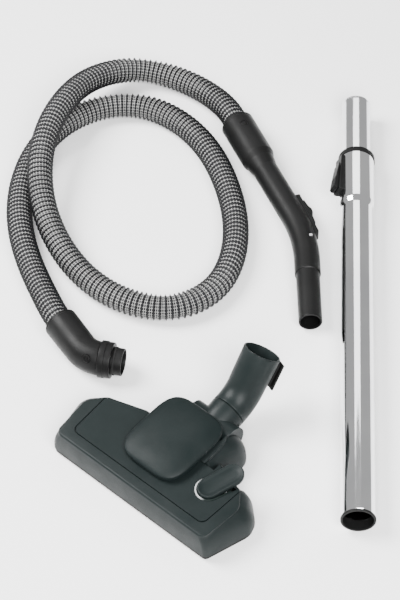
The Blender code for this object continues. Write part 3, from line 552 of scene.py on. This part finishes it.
def make_shell_and_panel():
    form = hood_rings(SHELL_FOOT, SHELL_BROW, SHELL_UNDER, roof)
    inner = hood_rings(shrunk(SHELL_FOOT, SHELL_WALL), shrunk(SHELL_BROW, SHELL_WALL), SHELL_UNDER - 1,
                       lambda y: roof(y) - ROOF_THICKNESS)
    seam = GROOVE_WIDTH - PANEL_INSET
    recess = [(x + math.copysign(seam, x), y - (seam if y < 50 else 0), r)
              for x, y, r in PANEL_OUTLINE]
    gate = block("gate_tool", (PIVOT_X - 54.5, 84.3, 8), (PIVOT_X + 54.5, 125, 60))
    well = slab("well_tool", pedal_outline(17.7, 34.2), 20, 70)
    shell = loft("shell_blank", form)
    cut(shell, loft("inside_tool", inner), gate,
        slab("duct_gate_tool", [(-35, 76), (35, 76), (35, 88), (-35, 88)], 15,
             lambda y: roof(y) - ROOF_THICKNESS - 0.12),
        slab("recess_tool", arc_corners(recess), lambda y: roof(y) - PANEL_THICKNESS - 0.3, 70), well)
    place(shell, "head_shell", HEAD)
    inset = [(x - math.copysign(PANEL_INSET, x), y + (PANEL_INSET if y < 50 else 0), r)
             for x, y, r in PANEL_OUTLINE]
    panel = slab("panel_blank", arc_corners(inset), lambda y: roof(y) - PANEL_THICKNESS, lambda y: roof(y) + 3)
    boolean(panel, "INTERSECT", loft("panel_trim_tool", form))
    cut(panel, well, gate)
    place(panel, "top_panel", HEAD)


def make_cover():
    """A crowned, nearly square lid whose rim turns down in a small radius."""
    cells = 60
    shape = bmesh.new()
    bmesh.ops.create_grid(shape, x_segments=cells, y_segments=cells, size=1.0)
    for vert in shape.verts:
        u, v = (math.sin(part * math.pi / 2) for part in (vert.co.x, vert.co.y))
        far = max(abs(u), abs(v))
        spread = (abs(u) ** COVER_SQUARENESS + abs(v) ** COVER_SQUARENESS) ** (1 / COVER_SQUARENESS)
        share = far / spread if far else 1
        x, y = COVER_HALF_WIDTH * u * share, COVER_CENTRE_Y + COVER_HALF_DEPTH * v * share
        across, along = x / COVER_HALF_WIDTH, (y - COVER_CENTRE_Y) / COVER_HALF_DEPTH
        rim = min(across ** COVER_SQUARENESS + along ** COVER_SQUARENESS, 1.0)
        crown = COVER_DOME * (1 - rim) ** 0.5 * (1 - COVER_FALL * (across ** 2 + along ** 2))
        vert.co = Vector((x, y, cover_under(y) + COVER_EDGE + crown)) * MM
    grown = bmesh.ops.extrude_face_region(shape, geom=shape.faces[:])
    for vert in (item for item in grown["geom"] if isinstance(item, bmesh.types.BMVert)):
        vert.co.z = cover_under(vert.co.y / MM) * MM
    place(blank("cover_blank", shape), "duct_cover", HEAD, sharp=50)


def make_housing():
    housing = loft("housing_blank", hood_rings(HOUSING_FOOT, HOUSING_BROW, 6.0, lambda y: cover_under(y) - 0.3,
                                               fillet=5.0))
    cut(housing, block("knuckle_slot_tool", (-34.6, 119.5, 0), (34.6, 190, 70)),
        block("housing_inside_tool", (-34, 97, 0), (34, 121, 20)),
        block("housing_duct_tool", (-40, 80, 22), (18, 122, 42)))
    for sign in (-1, 1):
        x = sign * WHEEL_X
        cut(housing, block("wheel_tool", (x - 4.6, WHEEL_Y - 13, 0), (x + 4.6, WHEEL_Y + 13, 25.2)),
            rod("axle_tool", (sign * 30, WHEEL_Y, WHEEL_RADIUS), (sign * 55.9, WHEEL_Y, WHEEL_RADIUS), 1.8, 24),
            rod("pivot_tool", (sign * 30, TILT_Y, TILT_Z), (sign * 38.7, TILT_Y, TILT_Z), 3.8, 32))
    place(housing, "pivot_housing", PIVOT)


def make_neck():
    knuckle = rod("barrel_blank", (0, -BARREL_HALF, 0), (0, BARREL_HALF, 0), BARREL_RADIUS, sides=96)
    stub = turned("stub_blank", arc_corners([(-2, 2, 0), (STUB_END, 2, 0), (STUB_END, STUB_RADIUS, 1.2),
                                             (14, 23.2, 0), (6, 21.8, 0), (-2, 20.5, 0)]), sides=96)
    fuse(knuckle, stub, rod("core_blank", (-2, 0, 0), (STUB_END, 0, 0), 4),
         rod("trunnion_blank", (0, -38.3, 0), (0, 38.3, 0), 3.5))
    cut(knuckle, rod("air_tool", (-30, 0, 0), (50, 0, 0), 15.6, 64),
        rod("retainer_tool", (12, 0, 0), (17, 0, 0), 20.8, 64),
        rod("swivel_tool", (15, 0, 0), (50, 0, 0), 19.3, 64),
        block("slot_mark_tool", (19, -28, -2.6), (25, -22.6, 2.6)))
    place(knuckle, "knuckle", TILT)
    bore_start = NECK_LENGTH - NECK_SOCKET_DEPTH
    arc_end = NECK_STRAIGHT + NECK_BEND_RADIUS * math.radians(NECK_BEND)
    corners = [(17, 17.0, 0), (NECK_STRAIGHT, 17.4, 0), (bore_start - 1.5, 17.6, 0), (bore_start, NECK_BORE, 0),
               (NECK_LENGTH, NECK_BORE, 0.8), (NECK_LENGTH, 24.9, 1.2), (NECK_LENGTH - 10, 24.8, 0),
               (NECK_LENGTH - 24, 24.5, 0), (arc_end, 23.9, 0), (NECK_STRAIGHT, 23.8, 0), (33, 23.9, 0),
               (STUB_END + 0.5, 23.9, 1.0), (STUB_END + 0.5, 19.0, 0), (17, 19.0, 0)]
    place(turned("neck_blank", arc_corners(corners, 5), NECK_ARC, upward=True, sides=96), "neck_tube", TILT)
    hook = block("hook_blank", (8, -3, -31), (40, 3, -25.2))
    fuse(hook, block("flange_blank", (6, -9, -33), (42, 9, -29.8)))
    place(soften(hook, 0.9), "parking_hook", TILT @ bend_frame(NECK_ARC, arc_end, upward=True)
          @ Matrix.Rotation(math.radians(HOOK_LEAN), 4, "X"))


def make_pedal():
    def under(y):
        return roof(PEDAL_Y - PEDAL_HALF_LENGTH) - 3.4 + 0.185 * (y - (PEDAL_Y - PEDAL_HALF_LENGTH))

    def pin(name, half_length, radius):
        ends = [(*pedal_spot(x, 0), PEDAL_PIN_Z) for x in (-half_length, half_length)]
        return rod(name, *ends, radius, 24)

    rings = []
    for inset, rise in ((1.2, 0.0), (0.3, 0.4), (0.0, 1.2), (0.0, 4.2), (0.2, 5.1), (0.8, 5.8), (1.7, 6.0),
                        (2.6, 5.8), (4.0, 5.1), (6.0, 4.4), (8.5, 4.0)):
        outline = pedal_outline(PEDAL_HALF_WIDTH - inset, PEDAL_HALF_LENGTH - inset)
        rings.append([(x, y, under(y) + rise) for x, y in outline])
    pedal = loft("pedal_blank", rings)
    lug = [pedal_spot(x, y) for x, y in ((-7, -4), (7, -4), (7, 4), (-7, 4))]
    fuse(pedal, slab("pedal_lug_blank", lug, PEDAL_PIN_Z - 3.5, PEDAL_PIN_Z + 6))
    cut(pedal, pin("pedal_pin_tool", 30, 1.9))
    place(pedal, "pedal", HEAD)
    cup = slab("cup_blank", pedal_outline(17.3, 33.8), 30, lambda y: roof(y) + 0.6)
    cut(cup, slab("cup_inside_tool", pedal_outline(15.4, 31.9), 10, 80),
        slab("cup_back_tool", [pedal_spot(x, y) for x, y in ((-25, 6), (25, 6), (25, 60), (-25, 60))], 10, 80),
        pin("cup_pin_tool", 30, 1.8))
    place(soften(cup, 0.4, 2), "pedal_cup", HEAD)


# ---------------------------------------------------------------- wand
def make_wand():
    bore, wide_bore, inner_bore = TUBE_RADIUS - TUBE_WALL, COLLAR_RADIUS - TUBE_WALL, INNER_RADIUS - TUBE_WALL
    swell = [(COLLAR_START + 12 * k / 10, (1 - math.cos(math.pi * k / 10)) / 2) for k in range(11)]
    outer = [(0, bore)] + [(x, bore + (wide_bore - bore) * share) for x, share in swell]
    outer += [(COLLAR_END, wide_bore), (COLLAR_END, COLLAR_RADIUS - 0.3), (COLLAR_END - 0.3, COLLAR_RADIUS)]
    outer += [(x, TUBE_RADIUS + (COLLAR_RADIUS - TUBE_RADIUS) * share) for x, share in reversed(swell)]
    outer += [(0.3, TUBE_RADIUS), (0, TUBE_RADIUS - 0.2)]
    place(turned("outer_blank", outer, sides=128), "outer_tube", WAND)
    place(turned("ring_blank", arc_corners([(-3, 19.2, 0.4), (12, 19.2, 0), (12, bore - 0.3, 0),
                                            (-0.3, bore - 0.3, 0), (-0.3, 22.0, 0.3), (-3, 22.0, 0.9)], 4),
                 sides=96), "end_ring", WAND)
    lip = arc_corners([(INNER_START, inner_bore, 0), (WAND_LENGTH, inner_bore, 0.2), (WAND_LENGTH, 20.4, 0.5),
                       (WAND_LENGTH - 3, 20.4, 0.5), (WAND_LENGTH - 4, INNER_RADIUS, 0.3),
                       (INNER_START, INNER_RADIUS, 0)], 4)
    place(turned("inner_blank", lip, sides=128), "inner_tube", WAND)
    place(turned("sleeve_blank", [(WAND_LENGTH - 46, 16.4), (WAND_LENGTH - 1.5, 16.4), (WAND_LENGTH - 1.5, 17.0),
                                  (WAND_LENGTH - 3, inner_bore - 0.3), (WAND_LENGTH - 46, inner_bore - 0.3)],
                 sides=96), "mouth_sleeve", WAND)
    seal = [(COLLAR_END - 18, 20.7, 0), (COLLAR_END + 9, 20.7, 0), (COLLAR_END + 9, 25.5, 1.6),
            (COLLAR_END + 0.3, 25.5, 0.5), (COLLAR_END + 0.3, 23.4, 0), (COLLAR_END - 18, 23.4, 0)]
    place(turned("seal_blank", arc_corners(seal, 5), sides=96), "seal_collar", WAND)
    side = WAND @ Matrix.Rotation(math.radians(LATCH_LEAN), 4, "X")
    foot, head = LATCH_FOOT, COLLAR_END - 2
    housing = slab("latch_blank", [(foot + 3, 18), (head, 18), (head, 27.6), (foot, 31.4), (foot, 27.5)],
                   -9.5, 9.5)
    soften(housing, 1.6, 4)
    cut(housing, rod("latch_seat_tool", (500, 0, 0), (650, 0, 0), COLLAR_RADIUS + 0.1, 96))
    place(housing, "latch_housing", side)
    button = slab("button_blank", [(foot + 2, 31.7), (head - 16, 29.1), (head - 16, 30.6), (foot + 22, 35.5),
                                   (foot + 4, 38.0), (foot + 1, 35.0)], -7.5, 7.5)
    soften(button, 1.2, 4)
    for k in range(5):
        x = foot + 7 + 3.6 * k
        top = 37.7 - 0.14 * (x - foot - 4)
        cut(button, rod("grip_line_tool", (x, top + 0.5, -12), (x, top + 0.5, 12), 0.9, 16))
    place(button, "latch_button", side)


# ---------------------------------------------------------------- grip
def make_grip():
    outer = [(GRIP_LENGTH, 13.6, 0.3), (GRIP_LENGTH, 15.6, 0.8), (340, 15.8, 0),
             (GRIP_CONE_START + 1.2, 16.1, 0.4), (GRIP_CONE_START - 0.2, 17.5, 0.6), (285, GRIP_RADIUS, 0), (98, GRIP_RADIUS, 14), (82, 20.2, 8),
             (73, 23.4, 4), (30, 23.6, 0), (3.2, 23.7, 0.4), (2.6, 23.1, 0.3), (2.0, 23.7, 0.3), (0, 23.7, 0.7)]
    inner = [(0, SOCKET_BORE, 0.6), (SOCKET_DEPTH, SOCKET_BORE, 0), (SOCKET_DEPTH + 2, 15.0, 0), (100, 14.6, 0),
             (170, 14.2, 0), (290, 14.2, 0)]
    grip = turned("grip_blank", arc_corners(inner + outer, 5), GRIP_ARC, sides=96)
    cut(grip, rod("lug_window_tool", (22, 0, 16), (22, 0, 30), 4.9, 48))
    air_hole = block("air_hole_tool", (-21, 8, -2.6), (-8, 24, 2.6))
    rail_outline = arc_corners([(-36, 12, 1), (38, 12, 1), (38, 20.2, 2), (-36, 20.2, 2)], 4)
    rail = slab("rail_blank", rail_outline, -8.5, 8.5)
    rail_seat = turned("rail_seat_tool", [(100, 0.5), (300, 0.5), (300, 17.6), (100, 17.6)], GRIP_ARC, sides=64)
    rail_seat.data.transform(GRIP_RAIL.inverted())
    soften(rail, 1.2, 3)
    cut(rail, rail_seat, air_hole)
    place(rail, "air_valve_rail", GRIP @ GRIP_RAIL)
    hole_in_grip = air_hole.copy()
    hole_in_grip.data = air_hole.data.copy()
    hole_in_grip.data.transform(GRIP_RAIL)
    bpy.context.scene.collection.objects.link(hole_in_grip)
    SCRAP.append(hole_in_grip)
    spot = bend_frame(GRIP_ARC, 243.0)
    screw_seat = rod("screw_seat_tool", (0, 8, 15.0), (0, 8, 22), 2.7, 32)
    screw_seat.data.transform(spot)
    cut(grip, hole_in_grip, screw_seat)
    place(grip, "handle_grip", GRIP)
    lug = rod("lug_blank", (22, 0, 20.0), (22, 0, 23.4), 4.4, 48)
    place(soften(lug, 0.8, 3), "handle_lug", GRIP)
    slide = slab("slide_blank", [(-24, 20.5), (20, 20.5), (20, 22.0), (7, 22.8), (0, 25.8), (-6, 26.2),
                                 (-12, 23.6), (-24, 22.2)], -7.5, 7.5)
    soften(slide, 1.0, 4)
    for k in range(4):
        x = -10 + 3.0 * k
        cut(slide, rod("thumb_line_tool", (x, 26.4 - 0.05 * k, -12), (x, 26.4 - 0.05 * k, 12), 0.8, 16))
    place(slide, "air_valve_slide", GRIP @ GRIP_RAIL)


# ---------------------------------------------------------------- elbow
def make_elbow():
    """The elbow's pieces, which ride at the far end of the hose."""
    body = [(0, SOCKET_BORE, 0.5), (SOCKET_DEPTH, SOCKET_BORE, 0), (SOCKET_DEPTH + 1.5, 16.6, 0),
            (SPIGOT_START - 0.3, 16.4, 0), (SPIGOT_START - 0.3, 18.3, 0), (ELBOW_BODY_END, 18.3, 0),
            (ELBOW_BODY_END, 22.2, 0.8), (ELBOW_STRAIGHT, 22.2, 0), (25, 22.6, 0), (3.4, 22.8, 0.3),
            (2.8, 22.2, 0.2), (2.2, 22.8, 0.3), (0, 22.8, 0.7)]
    elbow = turned("elbow_blank", arc_corners(body, 5), ELBOW_ARC, sides=96, step=3.0)
    facing = bend_frame(ELBOW_ARC, 74.0) @ Matrix.Rotation(math.radians(50), 4, "X")
    hole = rod("button_hole_tool", (0, 0, 10), (0, 0, 30), 5.5, 48)
    hole.data.transform(facing)
    pieces = [place(cut(elbow, hole), "elbow_body", ELBOW)]
    spigot = [(SPIGOT_START, 15.8, 0), (ELBOW_LENGTH, 15.8, 0.4), (ELBOW_LENGTH, SPIGOT_RADIUS, 0.9),
              (SPIGOT_START, SPIGOT_RADIUS, 0)]
    pieces.append(place(turned("spigot_blank", arc_corners(spigot, 4), ELBOW_ARC, sides=96), "spigot", ELBOW))
    collar = [(ELBOW_BODY_END + 0.4, 18.3, 0), (101, 18.3, 0.3), (101, 23.7, 1.0), (92.8, 23.7, 0.3),
              (92.2, 24.5, 0.5), (ELBOW_BODY_END + 0.4, 24.5, 0.9)]
    ring = turned("collar_blank", arc_corners(collar, 4), ELBOW_ARC, sides=96)
    pieces.append(place(ring, "locking_collar", ELBOW))
    seal = arc_corners([(103.4, 18.1, 0), (105.6, 18.1, 0), (105.6, 18.9, 0.4), (103.4, 18.9, 0.4)], 4)
    pieces.append(place(turned("seal_ring_blank", seal, ELBOW_ARC, sides=96), "spigot_seal", ELBOW))
    button = rod("elbow_button_blank", (0, 0, 18.9), (0, 0, 23.2), 4.9, 48)
    soften(button, 0.6, 3)
    for x in (-2.6, 1.2):
        cut(button, block("button_slot_tool", (x, -2.4, 22.2), (x + 1.4, 2.4, 25)))
    pieces.append(place(button, "elbow_button", ELBOW @ facing))
    return pieces


# ---------------------------------------------------------------- brushes
def make_bristles(node, low_y):
    """Two staggered rows of round tufts that flare a little towards the floor."""
    shape = bmesh.new()
    for row in range(2):
        for k in range(TUFTS - row):
            x = -110.5 + (k + 0.5 * row) * 221 / (TUFTS - 1)
            y = low_y + 1.2 + 2.0 * row
            bmesh.ops.create_cone(shape, cap_ends=True, segments=10, radius1=1.15 * MM, radius2=0.85 * MM,
                                  depth=9.0 * MM, matrix=Matrix.Translation(Vector((x, y, 4.8)) * MM))
    place(blank("tuft_blank", shape), node, HEAD)


# ---------------------------------------------------------------- hose
def smooth_route(points, spacing):
    """Points at a spacing along the natural cubic spline through a route's points."""
    route = np.array(points, dtype=float)
    chord = np.linalg.norm(np.diff(route, axis=0), axis=1)
    along = np.concatenate(([0.0], np.cumsum(chord)))
    count = len(route)
    matrix, right = np.zeros((count, count)), np.zeros((count, 3))
    matrix[0, 0] = matrix[-1, -1] = 1.0
    for i in range(1, count - 1):
        before, after = chord[i - 1], chord[i]
        matrix[i, i - 1:i + 2] = before, 2 * (before + after), after
        right[i] = 6 * ((route[i + 1] - route[i]) / after - (route[i] - route[i - 1]) / before)
    second = np.linalg.solve(matrix, right)
    result = []
    for s in np.linspace(0.0, along[-1], round(along[-1] / spacing) + 1):
        i = min(max(int(np.searchsorted(along, s)) - 1, 0), count - 2)
        h = chord[i]
        a, b = (along[i + 1] - s) / h, (s - along[i]) / h
        bulge = ((a ** 3 - a) * second[i] + (b ** 3 - b) * second[i + 1]) * h * h / 6
        result.append(a * route[i] + b * route[i + 1] + bulge)
    return np.array(result)


def ring_stations(length):
    """Distances along the hose and the radius there, rib by rib."""
    ribs = int(length / RIB_PITCH)
    pitch = length / ribs
    return [((rib + share) * pitch, rib + share, radius) for rib in range(ribs) for share, radius in RIB_PROFILE]


def make_hose(on_it):
    route = smooth_route(HOSE_ROUTE, 4.0) + np.array(KIT_SHIFT)
    steps = np.linalg.norm(np.diff(route, axis=0), axis=1)
    along = np.concatenate(([0.0], np.cumsum(steps)))
    stations = ring_stations(along[-1])
    shape = bmesh.new()
    bmesh.ops.create_grid(shape, x_segments=len(stations) - 1, y_segments=HOSE_SIDES, size=1.0)
    braid = shape.loops.layers.uv.new("braid")
    grid = {}
    for vert in shape.verts:
        grid[vert] = (round((vert.co.x + 1) / 2 * (len(stations) - 1)), round((vert.co.y + 1) / 2 * HOSE_SIDES))
    for face in shape.faces:
        for loop in face.loops:
            row, column = grid[loop.vert]
            loop[braid].uv = (stations[row][1], column / HOSE_SIDES)
    centres, sides, ups = [], [], []
    for s, _, _ in stations:
        centre = np.array([np.interp(s, along, route[:, axis]) for axis in range(3)])
        ahead = np.array([np.interp(s + 2, along, route[:, axis]) for axis in range(3)])
        behind = np.array([np.interp(s - 2, along, route[:, axis]) for axis in range(3)])
        tangent = Vector(ahead - behind).normalized()
        side = tangent.cross(Vector((0, 0, 1))).normalized()
        centres.append(Vector(centre))
        sides.append(side)
        ups.append(side.cross(tangent))
    for vert, (row, column) in grid.items():
        angle = 2 * math.pi * column / HOSE_SIDES
        spread = sides[row] * math.cos(angle) + ups[row] * math.sin(angle)
        vert.co = (centres[row] + spread * stations[row][2]) * MM
    bmesh.ops.remove_doubles(shape, verts=shape.verts, dist=0.00001)
    bmesh.ops.recalc_face_normals(shape, faces=shape.faces)
    mesh = bpy.data.meshes.new("hose_corrugated")
    shape.to_mesh(mesh)
    shape.free()
    mesh.shade_smooth()
    hose = bpy.data.objects.new("hose_corrugated", mesh)
    bpy.context.scene.collection.objects.link(hose)
    mesh.materials.append(BRAID)
    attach(hose, "hose")
    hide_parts("hose")


# ---------------------------------------------------------------- studio
def make_floor():
    shape = bmesh.new()
    bmesh.ops.create_grid(shape, x_segments=8, y_segments=8, size=6.0)
    mesh = bpy.data.meshes.new("studio_floor")
    shape.to_mesh(mesh)
    shape.free()
    floor = bpy.data.objects.new("studio_floor", mesh)
    bpy.context.scene.collection.objects.link(floor)
    mesh.materials.append(studio_floor())


def set_world():
    world = bpy.data.worlds.new("studio_world")
    bpy.context.scene.world = world
    world.use_nodes = True
    background = world.node_tree.nodes["Background"]
    background.inputs["Color"].default_value = (1.0, 1.0, 1.0, 1.0)
    background.inputs["Strength"].default_value = WORLD_STRENGTH


RAIL_PLACE, _ = bend_point(*GRIP_ARC, RAIL_S)
GRIP_RAIL = Matrix.Translation(Vector((RAIL_PLACE.x, RAIL_PLACE.y, 0)) * MM) \
    @ Matrix.Rotation(math.radians(RAIL_HEADING), 4, "Z")

set_camera()
for name, node in frame["nodes"].items():
    for material_slot in node.material_slots:
        material_slot.material = FINISHES[SLOT_OF[name]]
make_hose(make_elbow())
make_grip()
make_wand()
make_shell_and_panel()
make_cover()
make_housing()
make_neck()
make_pedal()
make_bristles("front_bristles", 12.3)
make_bristles("rear_bristles", 68.8)
for leftover in SCRAP:
    bpy.data.objects.remove(leftover, do_unlink=True)

make_floor()
set_world()
add_area("back_softbox", (0.1, 2.1, 2.25), (0.0, 0.0, 0.0), (1.7, 0.9), 16)
add_area("key_softbox", (-1.9, 0.5, 2.3), (0.0, 0.0, 0.0), (1.6, 1.6), 250)
add_area("front_softbox", (0.5, -2.3, 2.3), (0.0, 0.0, 0.0), (2.2, 1.4), 290)
